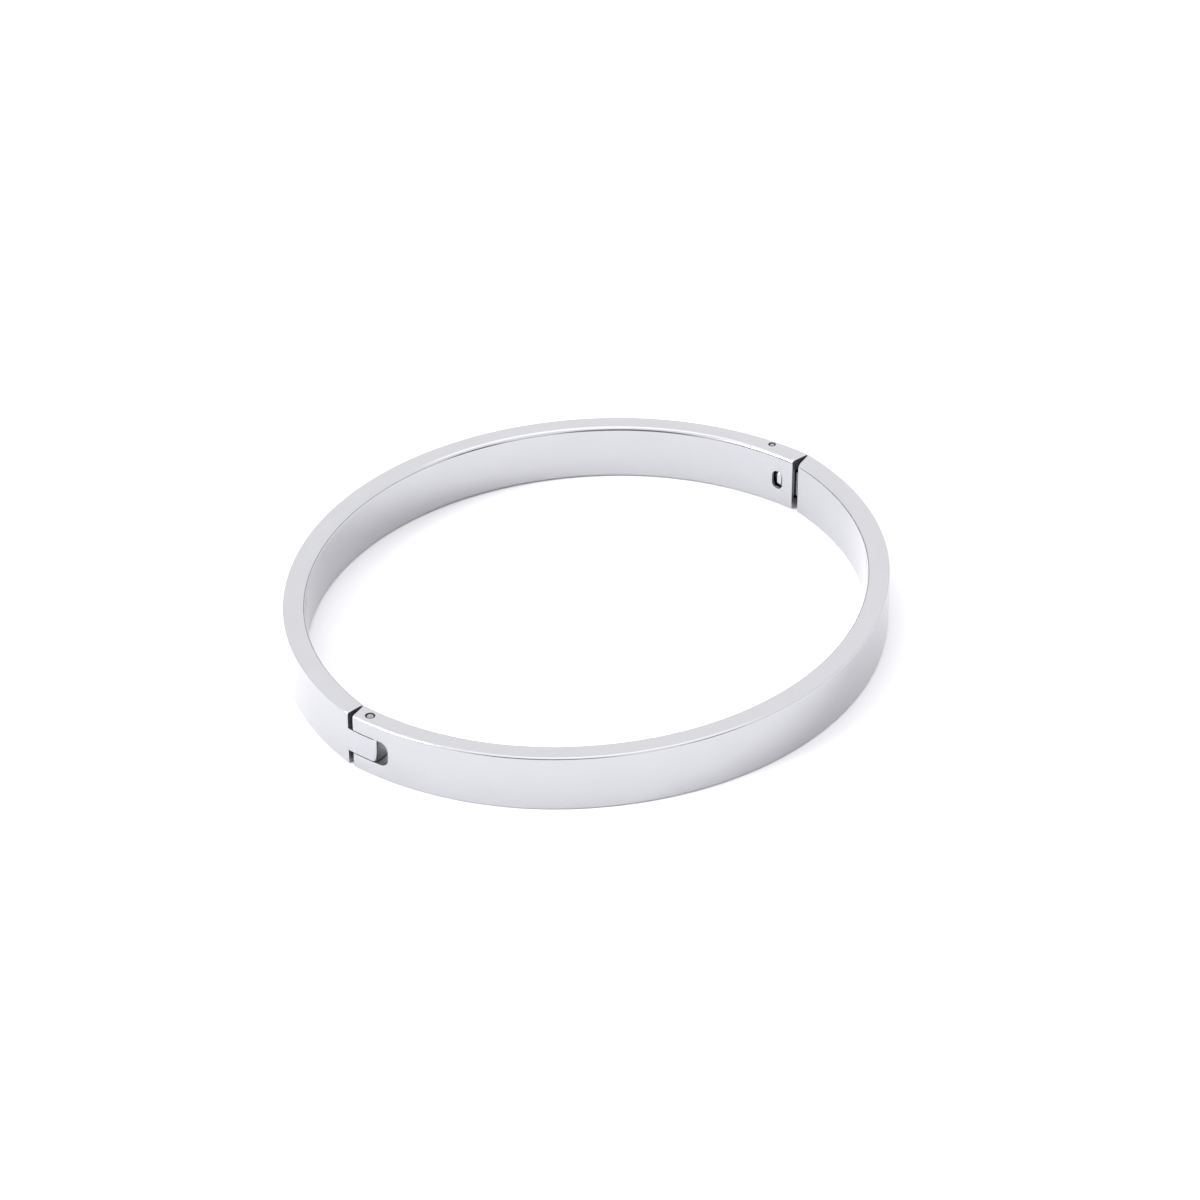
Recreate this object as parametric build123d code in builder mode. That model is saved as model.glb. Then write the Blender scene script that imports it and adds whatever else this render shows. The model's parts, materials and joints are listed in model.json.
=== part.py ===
"""Oval hinged bangle bracelet: two curved steel halves, a pinned hinge and a snap clasp.

Frame: +Z up, origin at the bottom centre of the closed bangle. X is the long axis of the
oval, with the hinge at -X and the clasp at +X. The back half is on +Y and is the fixed one;
the front half is on -Y and swings open about the hinge pin. All sizes are millimetres.
"""

from build123d import *
import math
import os

# ---------------------------------------------------------------- driving dimensions
OUTER_LENGTH = 64.4         # outside, from the hinge to the clasp
OUTER_WIDTH = 57.2          # outside, across both halves
END_RADIUS = 30.1           # outside, towards the hinge and the clasp; flatter between them
END_SLANT = 4.5             # degrees by which each half leans inwards as it meets the other
BAND_HEIGHT = 6.0
BAND_THICKNESS = 2.2
EDGE_RADIUS = 0.25          # the two long edges outside
INNER_EDGE_RADIUS = 0.45    # the two long edges inside, rounder for comfort
END_EDGE = 0.1              # broken edges at the meeting ends

# Hinge
PIN_REACH = 1.6             # pin axis, from the middle of the bangle into the front half
PIN_RADIUS = 0.5
PIN_RECESS = 0.15           # the ends of a pin lie this far below the faces it comes out of
PIN_CHAMFER = 0.13
PIN_PLAY = 0.04             # radial clearance of the pin in the knuckle
SHOULDER_OFFSET = 0.25      # end face of the back half, from the middle of the bangle
EAR_INNER_OVERRUN = 0.1     # the ears of the front half pass the middle inside ...
EAR_OUTER_SETBACK = 0.42    # ... and stop short of it outside
SLOT_HEIGHT = 2.7           # slot between the ears
SLOT_REACH = 2.95           # end of the slot, from the pin axis
SLOT_CORNER = 0.9
KNUCKLE_HEIGHT = 2.52
KNUCKLE_REACH = 1.4         # flat end of the knuckle, from the pin axis along the band
KNUCKLE_ROUNDING = 0.5      # its upright edges, so that it turns in the slot
KNUCKLE_ROOT = 0.5          # how deep the knuckle is rooted in the back half

# Clasp
CLASP_GAP = 0.06            # between the two halves at the outer face
CLASP_BEVEL = 0.6           # how much further the front half stands back at the inner face
CLASP_RELIEF = 0.22         # and the back half
SOCKET_WIDTH = 1.4          # across the thickness of the band
SOCKET_HEIGHT = 3.6
SOCKET_DEPTH = 4.4
SOCKET_CORNER = 0.3
ROOT_DEPTH = 3.2            # pocket of the front half that holds the spring tongue
WINDOW_WIDTH = 1.25         # catch window through the inner wall of the socket
WINDOW_HEIGHT = 2.1
WINDOW_REACH = 2.05         # middle of the window, from the middle of the bangle
STOP_PIN_RADIUS = 0.4
STOP_PIN_REACH = 3.9
STOP_PIN_INSET = 0.75       # pin axis, in from the outer face
TONGUE_WIDTH = 1.0          # across the folded spring
TONGUE_HEIGHT = 2.8
TONGUE_REACH = 2.8          # middle of the fold, from the middle of the bangle
LEAF_THICKNESS = 0.25
CATCH_WIDTH = 0.8           # raised bead that snaps into the window
CATCH_HEIGHT = 1.6
CATCH_STAND = 0.33          # how far the bead stands out of the leaf
CATCH_ROUNDING = 0.3
FIT = 0.01                  # gap round the root of the tongue

# ---------------------------------------------------------------- worked-out values
HALF_LENGTH = OUTER_LENGTH / 2
HALF_WIDTH = OUTER_WIDTH / 2
INNER_RADIUS = END_RADIUS - BAND_THICKNESS
MID_RADIUS = END_RADIUS - BAND_THICKNESS / 2
# A half is three tangent arcs: one at each end, and a flatter one between them.
END_SHIFT = HALF_LENGTH - END_RADIUS * math.cos(math.radians(END_SLANT))   # centre, along X
END_DROP = END_RADIUS * math.sin(math.radians(END_SLANT))                  # and past the X axis
MIDDLE_DROP = (END_SHIFT**2 + END_DROP**2 - (HALF_WIDTH - END_RADIUS) ** 2) / (
    2 * (HALF_WIDTH - END_RADIUS + END_DROP)
)
MIDDLE_RADIUS = HALF_WIDTH + MIDDLE_DROP
JOIN_ANGLE = math.degrees(math.atan2(MIDDLE_DROP - END_DROP, END_SHIFT))
MID_HEIGHT = BAND_HEIGHT / 2
CUT_REACH = 5.0                         # cutting shapes reach this far past the band
BACK = 1                                # side of +Y
FRONT = -1
CLASP_END = 1                           # side of +X
HINGE_END = -1


def reach_x(radius, reach):
    """Distance from the Y axis of an end arc of that radius, at a distance reach from X."""
    return END_SHIFT + math.sqrt(radius**2 - (reach + END_DROP) ** 2)


def arcs_region(side, inset):
    """Sketch of what the three arcs of a half enclose, at that distance inside the outer face."""
    with BuildSketch() as region:
        with BuildLine():
            first = CenterArc(
                (END_SHIFT, -side * END_DROP), END_RADIUS - inset, 0, side * JOIN_ANGLE
            )
            CenterArc(
                (0, -side * MIDDLE_DROP),
                MIDDLE_RADIUS - inset,
                side * JOIN_ANGLE,
                side * (180 - 2 * JOIN_ANGLE),
            )
            last = CenterArc(
                (-END_SHIFT, -side * END_DROP),
                END_RADIUS - inset,
                side * (180 - JOIN_ANGLE),
                side * JOIN_ANGLE,
            )
            Line(last @ 1, first @ 0)
        make_face()
    return region.sketch


def is_one_of(size, sizes):
    """True if a size is one of several."""
    return any(abs(size - other) < 0.001 for other in sizes)


def band_half(side):
    """Half of the oval band, on the side of +Y or -Y, with its four long edges rounded."""
    with BuildPart() as half:
        with BuildSketch():
            add(arcs_region(side, 0))
            add(arcs_region(side, BAND_THICKNESS), mode=Mode.SUBTRACT)
            with Locations((0, side * (OUTER_WIDTH / 2 - EAR_INNER_OVERRUN))):
                Rectangle(2 * OUTER_LENGTH, OUTER_WIDTH, mode=Mode.INTERSECT)
        extrude(amount=BAND_HEIGHT)
        long_edges = half.edges().filter_by(GeomType.CIRCLE)
        outside = (END_RADIUS, MIDDLE_RADIUS)
        outer_edges = long_edges.filter_by(lambda edge: is_one_of(edge.radius, outside))
        inner_edges = long_edges - outer_edges
        fillet(outer_edges, EDGE_RADIUS)
        fillet(inner_edges, INNER_EDGE_RADIUS)
    return half.part


def end_cut(side, end, inner_y, outer_y):
    """Waste at one end of a half, past an end face from inner_y (inside) to outer_y."""
    face_inner_x = end * reach_x(INNER_RADIUS, 0)
    slope = (outer_y - inner_y) / (end * HALF_LENGTH - face_inner_x)
    inner_x = face_inner_x - end * CUT_REACH
    outer_x = end * (HALF_LENGTH + CUT_REACH)
    with BuildPart() as waste:
        with BuildSketch():
            with BuildLine():
                Polyline(
                    (inner_x, inner_y + slope * (inner_x - face_inner_x)),
                    (outer_x, inner_y + slope * (outer_x - face_inner_x)),
                    (outer_x, -side * CUT_REACH),
                    (inner_x, -side * CUT_REACH),
                    close=True,
                )
            make_face()
        extrude(amount=BAND_HEIGHT)
    return waste.part


def end_face_edges(half, end):
    """Outline of the flat end face of a half at the hinge or at the clasp."""
    upright = half.faces().filter_by(lambda face: abs(face.normal_at().Z) < 0.5)
    flat = upright.filter_by(GeomType.PLANE)
    return flat.sort_by(Axis.X)[-1 if end == CLASP_END else 0].edges()


def bore_direction(target):
    """Direction in plan from the middle of the clasp seam to a point of the band."""
    return Vector(target[0] - seam_middle[0], target[1] - seam_middle[1], 0)


def bore_plane(target):
    """Plane across a pocket that runs from the clasp seam to target, set back from the seam."""
    direction = bore_direction(target).normalized()
    origin = Vector(*seam_middle, MID_HEIGHT) - direction * (CLASP_BEVEL + CLASP_GAP)
    return Plane(origin=origin, x_dir=(0, 0, 1), z_dir=direction)


pin_axis = (-reach_x(MID_RADIUS, PIN_REACH), -PIN_REACH)
stop_pin_axis = (reach_x(END_RADIUS - STOP_PIN_INSET, STOP_PIN_REACH), STOP_PIN_REACH)
seam_middle = (reach_x(MID_RADIUS, 0), 0)
socket_end = (reach_x(MID_RADIUS, SOCKET_DEPTH), SOCKET_DEPTH)
root_end = (reach_x(MID_RADIUS, ROOT_DEPTH), -ROOT_DEPTH)
fold_middle = (reach_x(MID_RADIUS, TONGUE_REACH), TONGUE_REACH)
window_middle = Vector(reach_x(INNER_RADIUS, WINDOW_REACH), WINDOW_REACH, MID_HEIGHT)
window_outward = Vector(window_middle.X - END_SHIFT, WINDOW_REACH + END_DROP, 0).normalized()


# ---------------------------------------------------------------- back half
# Knuckle in plan: flush with both faces of the closed band, flat at its end past the pin.
bend_centre = Vector(-END_SHIFT, END_DROP)
pin_outward = (Vector(*pin_axis) - bend_centre).normalized()
end_outward = pin_outward.rotate(Axis.Z, math.degrees(KNUCKLE_REACH / MID_RADIUS))
knuckle_root_y = SHOULDER_OFFSET + KNUCKLE_ROOT

with BuildPart() as back_half:
    add(band_half(BACK))
    add(end_cut(BACK, HINGE_END, SHOULDER_OFFSET, SHOULDER_OFFSET), mode=Mode.SUBTRACT)
    add(
        end_cut(BACK, CLASP_END, CLASP_GAP / 2 + CLASP_RELIEF, CLASP_GAP / 2),
        mode=Mode.SUBTRACT,
    )
    chamfer(end_face_edges(back_half, HINGE_END), END_EDGE)
    chamfer(end_face_edges(back_half, CLASP_END), END_EDGE)

    with BuildSketch(Plane.XY.offset(MID_HEIGHT - KNUCKLE_HEIGHT / 2)) as knuckle_outline:
        with BuildLine():
            Polyline(
                bend_centre + end_outward * END_RADIUS,
                bend_centre + pin_outward * END_RADIUS,
                (-HALF_LENGTH, 0),
                (-reach_x(END_RADIUS, knuckle_root_y), knuckle_root_y),
                (-reach_x(INNER_RADIUS, knuckle_root_y), knuckle_root_y),
                (-reach_x(INNER_RADIUS, 0), 0),
                bend_centre + pin_outward * INNER_RADIUS,
                bend_centre + end_outward * INNER_RADIUS,
                close=True,
            )
        make_face()
        fillet(knuckle_outline.vertices().sort_by(Axis.Y)[:2], KNUCKLE_ROUNDING)
    extrude(amount=KNUCKLE_HEIGHT)
    with Locations((*pin_axis, BAND_HEIGHT)):
        Hole(PIN_RADIUS + PIN_PLAY, depth=BAND_HEIGHT)

    with BuildSketch(bore_plane(socket_end)):
        RectangleRounded(SOCKET_HEIGHT, SOCKET_WIDTH, SOCKET_CORNER)
    extrude(amount=bore_direction(socket_end).length + CLASP_BEVEL + CLASP_GAP, mode=Mode.SUBTRACT)
    with BuildSketch(Plane(origin=window_middle, x_dir=(0, 0, 1), z_dir=window_outward)):
        SlotOverall(WINDOW_HEIGHT, WINDOW_WIDTH)
    extrude(amount=BAND_THICKNESS / 2, mode=Mode.SUBTRACT)
    with Locations((*stop_pin_axis, BAND_HEIGHT)):
        Hole(STOP_PIN_RADIUS, depth=BAND_HEIGHT)


# ---------------------------------------------------------------- front half
with BuildPart() as front_half:
    add(band_half(FRONT))
    add(
        end_cut(FRONT, HINGE_END, EAR_INNER_OVERRUN, -EAR_OUTER_SETBACK),
        mode=Mode.SUBTRACT,
    )
    add(
        end_cut(FRONT, CLASP_END, -CLASP_GAP / 2 - CLASP_BEVEL, -CLASP_GAP / 2),
        mode=Mode.SUBTRACT,
    )
    chamfer(end_face_edges(front_half, HINGE_END), END_EDGE)
    chamfer(end_face_edges(front_half, CLASP_END), END_EDGE)

    with BuildSketch(Plane.YZ.offset(-HALF_LENGTH - BAND_THICKNESS)) as slot_outline:
        with Locations((CUT_REACH / 2 - PIN_REACH - SLOT_REACH, MID_HEIGHT)):
            Rectangle(CUT_REACH, SLOT_HEIGHT)
        fillet(slot_outline.vertices().group_by(Axis.X)[0], SLOT_CORNER)
    extrude(amount=3 * BAND_THICKNESS, mode=Mode.SUBTRACT)
    with Locations((*pin_axis, BAND_HEIGHT)):
        Hole(PIN_RADIUS, depth=BAND_HEIGHT)

    with BuildSketch(bore_plane(root_end)):
        Rectangle(TONGUE_HEIGHT + 2 * FIT, TONGUE_WIDTH + 2 * FIT)
    extrude(amount=bore_direction(root_end).length + CLASP_BEVEL + CLASP_GAP, mode=Mode.SUBTRACT)


# ---------------------------------------------------------------- hinge pin and stop pin
with BuildPart() as hinge_pin:
    with BuildSketch(Plane.XY.offset(PIN_RECESS)):
        with Locations(pin_axis):
            Circle(PIN_RADIUS)
    extrude(amount=BAND_HEIGHT - 2 * PIN_RECESS)
    chamfer(hinge_pin.edges().filter_by(GeomType.CIRCLE), PIN_CHAMFER)

with BuildPart() as stop_pin:
    with BuildSketch(Plane.XY.offset(PIN_RECESS)):
        with Locations(stop_pin_axis):
            Circle(STOP_PIN_RADIUS)
    extrude(amount=BAND_HEIGHT - 2 * PIN_RECESS)
    chamfer(stop_pin.edges().filter_by(GeomType.CIRCLE), PIN_CHAMFER)


# ---------------------------------------------------------------- spring tongue
# A strip folded back on itself like a hairpin; the fold enters the socket first, and a bead
# on its inner leaf snaps into the window.
root_direction = bore_direction(root_end).normalized()
spine_start = Vector(*root_end) + root_direction * TONGUE_WIDTH
leaf_face = window_middle + window_outward * (BAND_THICKNESS - TONGUE_WIDTH) / 2


def round_spine(half_width):
    """Closed outline that runs round the tongue's spine at half_width from it."""
    with BuildLine() as outline:
        Polyline(spine_start, seam_middle, fold_middle)
        offset(amount=half_width, side=Side.BOTH, mode=Mode.REPLACE)
    return outline.line


with BuildPart() as spring_tongue:
    with BuildSketch(Plane.XY.offset(MID_HEIGHT - TONGUE_HEIGHT / 2)):
        with BuildLine():
            add(round_spine(TONGUE_WIDTH / 2))
        make_face()
        with BuildLine():
            add(round_spine(TONGUE_WIDTH / 2 - LEAF_THICKNESS))
        make_face(mode=Mode.SUBTRACT)
    extrude(amount=TONGUE_HEIGHT)
    split(bisect_by=Plane(origin=(*root_end, 0), z_dir=-root_direction))
    with BuildSketch(Plane(origin=leaf_face, x_dir=(0, 0, 1), z_dir=-window_outward)):
        SlotOverall(CATCH_HEIGHT, CATCH_WIDTH)
    extrude(amount=CATCH_STAND)
    bead_top = spring_tongue.faces().filter_by(GeomType.PLANE).sort_by_distance(window_middle)[0]
    fillet(bead_top.edges(), CATCH_ROUNDING)
    with BuildSketch(Plane(origin=leaf_face, x_dir=(0, 0, 1), z_dir=window_outward)):
        SlotOverall(CATCH_HEIGHT, CATCH_WIDTH)
    extrude(amount=LEAF_THICKNESS / 2)


# ---------------------------------------------------------------- files
pieces = {
    "back_half": back_half,
    "front_half": front_half,
    "hinge_pin": hinge_pin,
    "stop_pin": stop_pin,
    "spring_tongue": spring_tongue,
}
os.makedirs("parts", exist_ok=True)
for name, piece in pieces.items():
    piece.part.label = name
    export_step(piece.part, f"parts/{name}.step")
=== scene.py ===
"""Oval hinged bangle in polished steel: two bent halves, a pinned hinge and a snap clasp.

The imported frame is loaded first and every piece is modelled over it, in metres and in the
same axes: X runs from the hinge to the clasp, +Y is the fixed back half and Z is up.
"""

import json
import math

import bmesh
import bpy
from bpy.props import FloatProperty, FloatVectorProperty, PointerProperty
from bpy.types import Operator, Panel, PropertyGroup
from mathutils import Matrix, Vector


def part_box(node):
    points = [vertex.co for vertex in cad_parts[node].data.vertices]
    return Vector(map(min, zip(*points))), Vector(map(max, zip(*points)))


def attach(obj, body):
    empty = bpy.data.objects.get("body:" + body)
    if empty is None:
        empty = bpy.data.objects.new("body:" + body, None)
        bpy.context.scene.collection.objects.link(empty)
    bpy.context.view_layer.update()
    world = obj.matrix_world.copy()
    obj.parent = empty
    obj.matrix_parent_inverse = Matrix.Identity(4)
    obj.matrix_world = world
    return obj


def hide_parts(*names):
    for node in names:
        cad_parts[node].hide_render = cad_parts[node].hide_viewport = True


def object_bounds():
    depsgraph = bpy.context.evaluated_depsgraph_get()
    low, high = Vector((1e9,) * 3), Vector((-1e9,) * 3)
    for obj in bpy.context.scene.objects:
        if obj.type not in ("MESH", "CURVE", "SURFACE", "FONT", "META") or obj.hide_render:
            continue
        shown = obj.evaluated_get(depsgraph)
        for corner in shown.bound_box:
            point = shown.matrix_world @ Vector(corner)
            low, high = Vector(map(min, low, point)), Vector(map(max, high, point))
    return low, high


bl_info = {
    "name": "Hinged Bangle",
    "version": (1, 0, 0),
    "blender": (4, 5, 0),
    "location": "3D View > Sidebar > Bangle",
    "description": "Models a polished oval bangle with a pinned hinge and a snap clasp",
    "category": "Object",
}

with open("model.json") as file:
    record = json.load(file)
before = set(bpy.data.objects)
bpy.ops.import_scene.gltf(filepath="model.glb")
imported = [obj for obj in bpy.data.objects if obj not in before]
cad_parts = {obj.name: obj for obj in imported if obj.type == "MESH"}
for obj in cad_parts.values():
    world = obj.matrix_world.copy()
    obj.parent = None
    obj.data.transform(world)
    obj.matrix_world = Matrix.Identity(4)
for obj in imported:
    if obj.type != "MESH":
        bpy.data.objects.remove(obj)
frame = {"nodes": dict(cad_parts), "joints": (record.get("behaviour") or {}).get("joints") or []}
cad_low, cad_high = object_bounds()

MM = 0.001
UP = Vector((0, 0, 1))
BACK = 1                    # the half on +Y
FRONT = -1
CLASP_END = 1               # the end of the oval on +X
HINGE_END = -1

# Sizes that the frame gives
HALF_LENGTH = -cad_low.x
HALF_WIDTH = cad_high.y
BAND_HEIGHT = cad_high.z
MID_HEIGHT = BAND_HEIGHT / 2
HINGE_AXIS = Vector(frame["joints"][0]["pos_m"])
STOP_PIN_LOW, STOP_PIN_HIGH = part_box("stop_pin")
STOP_PIN_AXIS = (STOP_PIN_LOW + STOP_PIN_HIGH) / 2

# Each half is three tangent arcs, outside: one at each end and a flatter one between them
END_RADIUS = 30.1 * MM
END_SLANT = math.radians(4.5)                           # lean of a half as it meets the other
END_SHIFT = HALF_LENGTH - END_RADIUS * math.cos(END_SLANT)      # centre of an end arc
END_DROP = END_RADIUS * math.sin(END_SLANT)                     # and how far past the X axis
MIDDLE_DROP = (END_SHIFT**2 + END_DROP**2 - (HALF_WIDTH - END_RADIUS) ** 2) / (
    2 * (HALF_WIDTH - END_RADIUS + END_DROP)
)
MIDDLE_RADIUS = HALF_WIDTH + MIDDLE_DROP
JOIN_ANGLE = math.atan2(MIDDLE_DROP - END_DROP, END_SHIFT)

# How the bars and the tools are built
BEND_STEP = math.radians(0.6)
EDGE_SEGMENTS = 8           # round each long edge
KNUCKLE_STEPS = 8           # along the bend of the knuckle
KNUCKLE_TIP = 0.6 * MM      # straight part of the knuckle, at its flat end
ROOT_TAPER = 0.97           # keeps the root of the knuckle just inside the band's faces
STRAIGHT_END = 0.9 * MM     # the last bit of a half is straight, up to its end face
OVERRUN = 2 * MM            # a bar runs this far past the end face that it is cut to
CUT_REACH = 6 * MM          # cutting tools run this far past the band
CORNER_SEGMENTS = 12        # round the corners of a cutting block
ROD_SIDES = 64
NEARLY_HALF = 0.4999        # two roundings of exactly half a width would meet in one line
SHARP_ANGLE = math.radians(38)      # steeper edges count as rims
SMOOTH_ANGLE = math.radians(35)     # flatter edges are shaded smooth

# How points and faces are told apart
TOUCH = 0.002 * MM          # points this close to a face lie on it
NEAR = 0.01 * MM            # and these lie on it or on its rounding
SECTION_CORNER = 1 * MM     # the section's corners lie further than this from its middle

# Material slots; the halves' second slot, for cut faces, is rougher and also darker as painted
# shade in the slots and gaps
POLISHED, MACHINED_AND_SHADE = 0, 1           # of the two halves
# the pins' second slot is painted shade in the groove round their ends
PIN_END, PIN_GROOVE_SHADE = 0, 1          # of the two pins


# ------------------------------------------------------------------ settings
class BangleSizes(PropertyGroup):
    thickness: FloatProperty(
        name="Band thickness", description="From the inner face to the outer face",
        default=2.2 * MM, min=1 * MM, max=4 * MM, unit="LENGTH", precision=4,
    )
    outer_edge: FloatProperty(
        name="Outer edge radius", description="Rounding of the two long edges outside",
        default=0.25 * MM, min=0.05 * MM, max=1 * MM, unit="LENGTH", precision=5,
    )
    inner_edge: FloatProperty(
        name="Inner edge radius", description="Rounding of the two long edges inside",
        default=0.45 * MM, min=0.05 * MM, max=1 * MM, unit="LENGTH", precision=5,
    )
    end_break: FloatProperty(
        name="End edge break", description="Rounding round the end faces at hinge and clasp",
        default=0.1 * MM, min=0.02 * MM, max=0.2 * MM, unit="LENGTH", precision=5,
    )
    rim_break: FloatProperty(
        name="Rim break", description="Rounding of slot, socket, window and hole rims",
        default=0.05 * MM, min=0.01 * MM, max=0.1 * MM, unit="LENGTH", precision=5,
    )
    shoulder_offset: FloatProperty(
        name="Hinge shoulder", description="End face of the back half, past the middle",
        default=0.25 * MM, unit="LENGTH", precision=5,
    )
    ear_overrun: FloatProperty(
        name="Ear overrun inside", description="How far the ears pass the middle, inside",
        default=0.1 * MM, unit="LENGTH", precision=5,
    )
    ear_setback: FloatProperty(
        name="Ear setback outside", description="How far the ears stop short, outside",
        default=0.42 * MM, unit="LENGTH", precision=5,
    )
    slot_height: FloatProperty(
        name="Hinge slot height", description="Height of the slot between the ears",
        default=2.7 * MM, unit="LENGTH", precision=4,
    )
    slot_reach: FloatProperty(
        name="Hinge slot reach", description="End of the slot, from the pin",
        default=2.95 * MM, unit="LENGTH", precision=4,
    )
    slot_corner: FloatProperty(
        name="Hinge slot corner", description="Corner radius at the end of the slot",
        default=0.9 * MM, unit="LENGTH", precision=4,
    )
    knuckle_height: FloatProperty(
        name="Knuckle height", description="Height of the knuckle that turns in the slot",
        default=2.52 * MM, unit="LENGTH", precision=4,
    )
    knuckle_reach: FloatProperty(
        name="Knuckle reach", description="Flat end of the knuckle, from the pin",
        default=1.4 * MM, unit="LENGTH", precision=4,
    )
    knuckle_rounding: FloatProperty(
        name="Knuckle rounding", description="Rounding of the upright edges of its end",
        default=0.5 * MM, unit="LENGTH", precision=4,
    )
    knuckle_root: FloatProperty(
        name="Knuckle root", description="How deep the knuckle is rooted in the back half",
        default=0.5 * MM, unit="LENGTH", precision=4,
    )
    hinge_pin_radius: FloatProperty(
        name="Hinge pin radius", description="Radius of the pin through the ears",
        default=0.5 * MM, unit="LENGTH", precision=5,
    )
    pin_play: FloatProperty(
        name="Pin play", description="Radial clearance of the hinge pin in the knuckle",
        default=0.04 * MM, unit="LENGTH", precision=5,
    )
    stop_pin_radius: FloatProperty(
        name="Stop pin radius", description="Radius of the pin beside the clasp",
        default=0.4 * MM, unit="LENGTH", precision=5,
    )
    pin_recess: FloatProperty(
        name="Pin recess", description="How far the pins' ends lie below the band's edges",
        default=0.08 * MM, unit="LENGTH", precision=5,
    )
    pin_chamfer: FloatProperty(
        name="Pin chamfer", description="Broken rim of the pins' ends",
        default=0.17 * MM, unit="LENGTH", precision=5,
    )
    pin_dimple: FloatProperty(
        name="Pin dimple", description="Depth of the dimple in the pins' ends",
        default=0.05 * MM, unit="LENGTH", precision=5,
    )
    pin_fit: FloatProperty(
        name="Pin fit", description="Fine gap round the pins' visible ends",
        default=0.01 * MM, unit="LENGTH", precision=6,
    )
    clasp_gap: FloatProperty(
        name="Clasp gap outside", description="Gap between the halves at the outer face",
        default=0.06 * MM, unit="LENGTH", precision=5,
    )
    clasp_bevel: FloatProperty(
        name="Clasp bevel", description="How much further the front half stands back, inside",
        default=0.6 * MM, unit="LENGTH", precision=5,
    )
    clasp_relief: FloatProperty(
        name="Clasp relief", description="How much further the back half stands back, inside",
        default=0.22 * MM, unit="LENGTH", precision=5,
    )
    socket_width: FloatProperty(
        name="Socket width", description="Socket for the spring, across the band",
        default=1.4 * MM, unit="LENGTH", precision=4,
    )
    socket_height: FloatProperty(
        name="Socket height", description="Height of the socket for the spring",
        default=3.6 * MM, unit="LENGTH", precision=4,
    )
    socket_depth: FloatProperty(
        name="Socket depth", description="Depth of the socket from the middle",
        default=4.4 * MM, unit="LENGTH", precision=4,
    )
    socket_corner: FloatProperty(
        name="Socket corner", description="Corner radius of the socket",
        default=0.3 * MM, unit="LENGTH", precision=5,
    )
    window_width: FloatProperty(
        name="Window width", description="Catch window, along the band",
        default=1.25 * MM, unit="LENGTH", precision=4,
    )
    window_height: FloatProperty(
        name="Window height", description="Height of the catch window",
        default=2.1 * MM, unit="LENGTH", precision=4,
    )
    window_reach: FloatProperty(
        name="Window reach", description="Middle of the catch window, from the middle",
        default=2.05 * MM, unit="LENGTH", precision=4,
    )
    spring_width: FloatProperty(
        name="Spring width", description="Across the folded spring",
        default=1.0 * MM, unit="LENGTH", precision=4,
    )
    spring_height: FloatProperty(
        name="Spring height", description="Height of the folded spring",
        default=2.8 * MM, unit="LENGTH", precision=4,
    )
    spring_root: FloatProperty(
        name="Spring root", description="Depth of the spring's pocket in the front half",
        default=3.2 * MM, unit="LENGTH", precision=4,
    )


class BangleFinish(PropertyGroup):
    steel: FloatVectorProperty(
        name="Polished steel", description="Reflected colour of the band",
        subtype="COLOR", size=3, min=0, max=1, default=(0.475, 0.475, 0.494),
    )
    pin: FloatVectorProperty(
        name="Pin steel", description="Reflected colour of the two pins",
        subtype="COLOR", size=3, min=0, max=1, default=(0.3, 0.3, 0.312),
    )
    spring: FloatVectorProperty(
        name="Spring steel", description="Reflected colour of the clasp spring",
        subtype="COLOR", size=3, min=0, max=1, default=(0.5, 0.5, 0.51),
    )
    # Darker colour of the cut faces: partly their rougher finish, partly painted shade in slots
    # and gaps
    machined: FloatVectorProperty(
        name="Machined steel and shade", description="Reflected colour of slot, socket and end faces",
        subtype="COLOR", size=3, min=0, max=1, default=(0.3, 0.3, 0.312),
    )
    # Near-black colour painted as shade in the groove round the pins' ends
    groove: FloatVectorProperty(
        name="Groove painted shade", description="Colour of the groove round the pins' ends",
        subtype="COLOR", size=3, min=0, max=1, default=(0.07, 0.07, 0.072),
    )
    polish: FloatProperty(
        name="Polish roughness", description="Roughness of the polished band",
        default=0.14, min=0, max=1, subtype="FACTOR",
    )
    floor: FloatVectorProperty(
        name="Floor", description="Colour of the studio floor",
        subtype="COLOR", size=3, min=0, max=1, default=(0.82, 0.82, 0.835),
    )


class BangleStage(PropertyGroup):
    azimuth: FloatProperty(
        name="Camera azimuth", description="Turn of the camera from -Y towards +X",
        default=math.radians(-45.23), subtype="ANGLE",
    )
    elevation: FloatProperty(
        name="Camera elevation", description="Angle of the camera above the floor",
        default=math.radians(34.47), subtype="ANGLE",
    )
    distance: FloatProperty(
        name="Camera distance", description="From the camera to the middle of the bangle",
        default=476.1 * MM, unit="LENGTH",
    )
    lens: FloatProperty(
        name="Lens", description="Focal length in millimetres",
        default=144.13, unit="CAMERA",
    )
    key_light: FloatProperty(
        name="Side softbox", description="Power of the softbox on the hinge side",
        default=10.8, min=0, unit="POWER",
    )
    top_light: FloatProperty(
        name="Top softbox", description="Power of the softbox overhead",
        default=1.7, min=0, unit="POWER",
    )


# ------------------------------------------------------------------ modelling helpers
def clear_selection():
    """Back to object mode with nothing selected."""
    if bpy.context.object and bpy.context.object.mode != "OBJECT":
        bpy.ops.object.mode_set(mode="OBJECT")
    bpy.ops.object.select_all(action="DESELECT")


def keep_place(name):
    """Puts the new object's place, turn and size into its mesh, and names it."""
    piece = bpy.context.object
    bpy.ops.object.transform_apply(location=True, rotation=True, scale=True)
    piece.name = name
    piece.data.name = name
    return piece


def edit(piece):
    """Opens one piece in edit mode."""
    clear_selection()
    piece.select_set(True)
    bpy.context.view_layer.objects.active = piece
    bpy.ops.object.mode_set(mode="EDIT")


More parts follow.
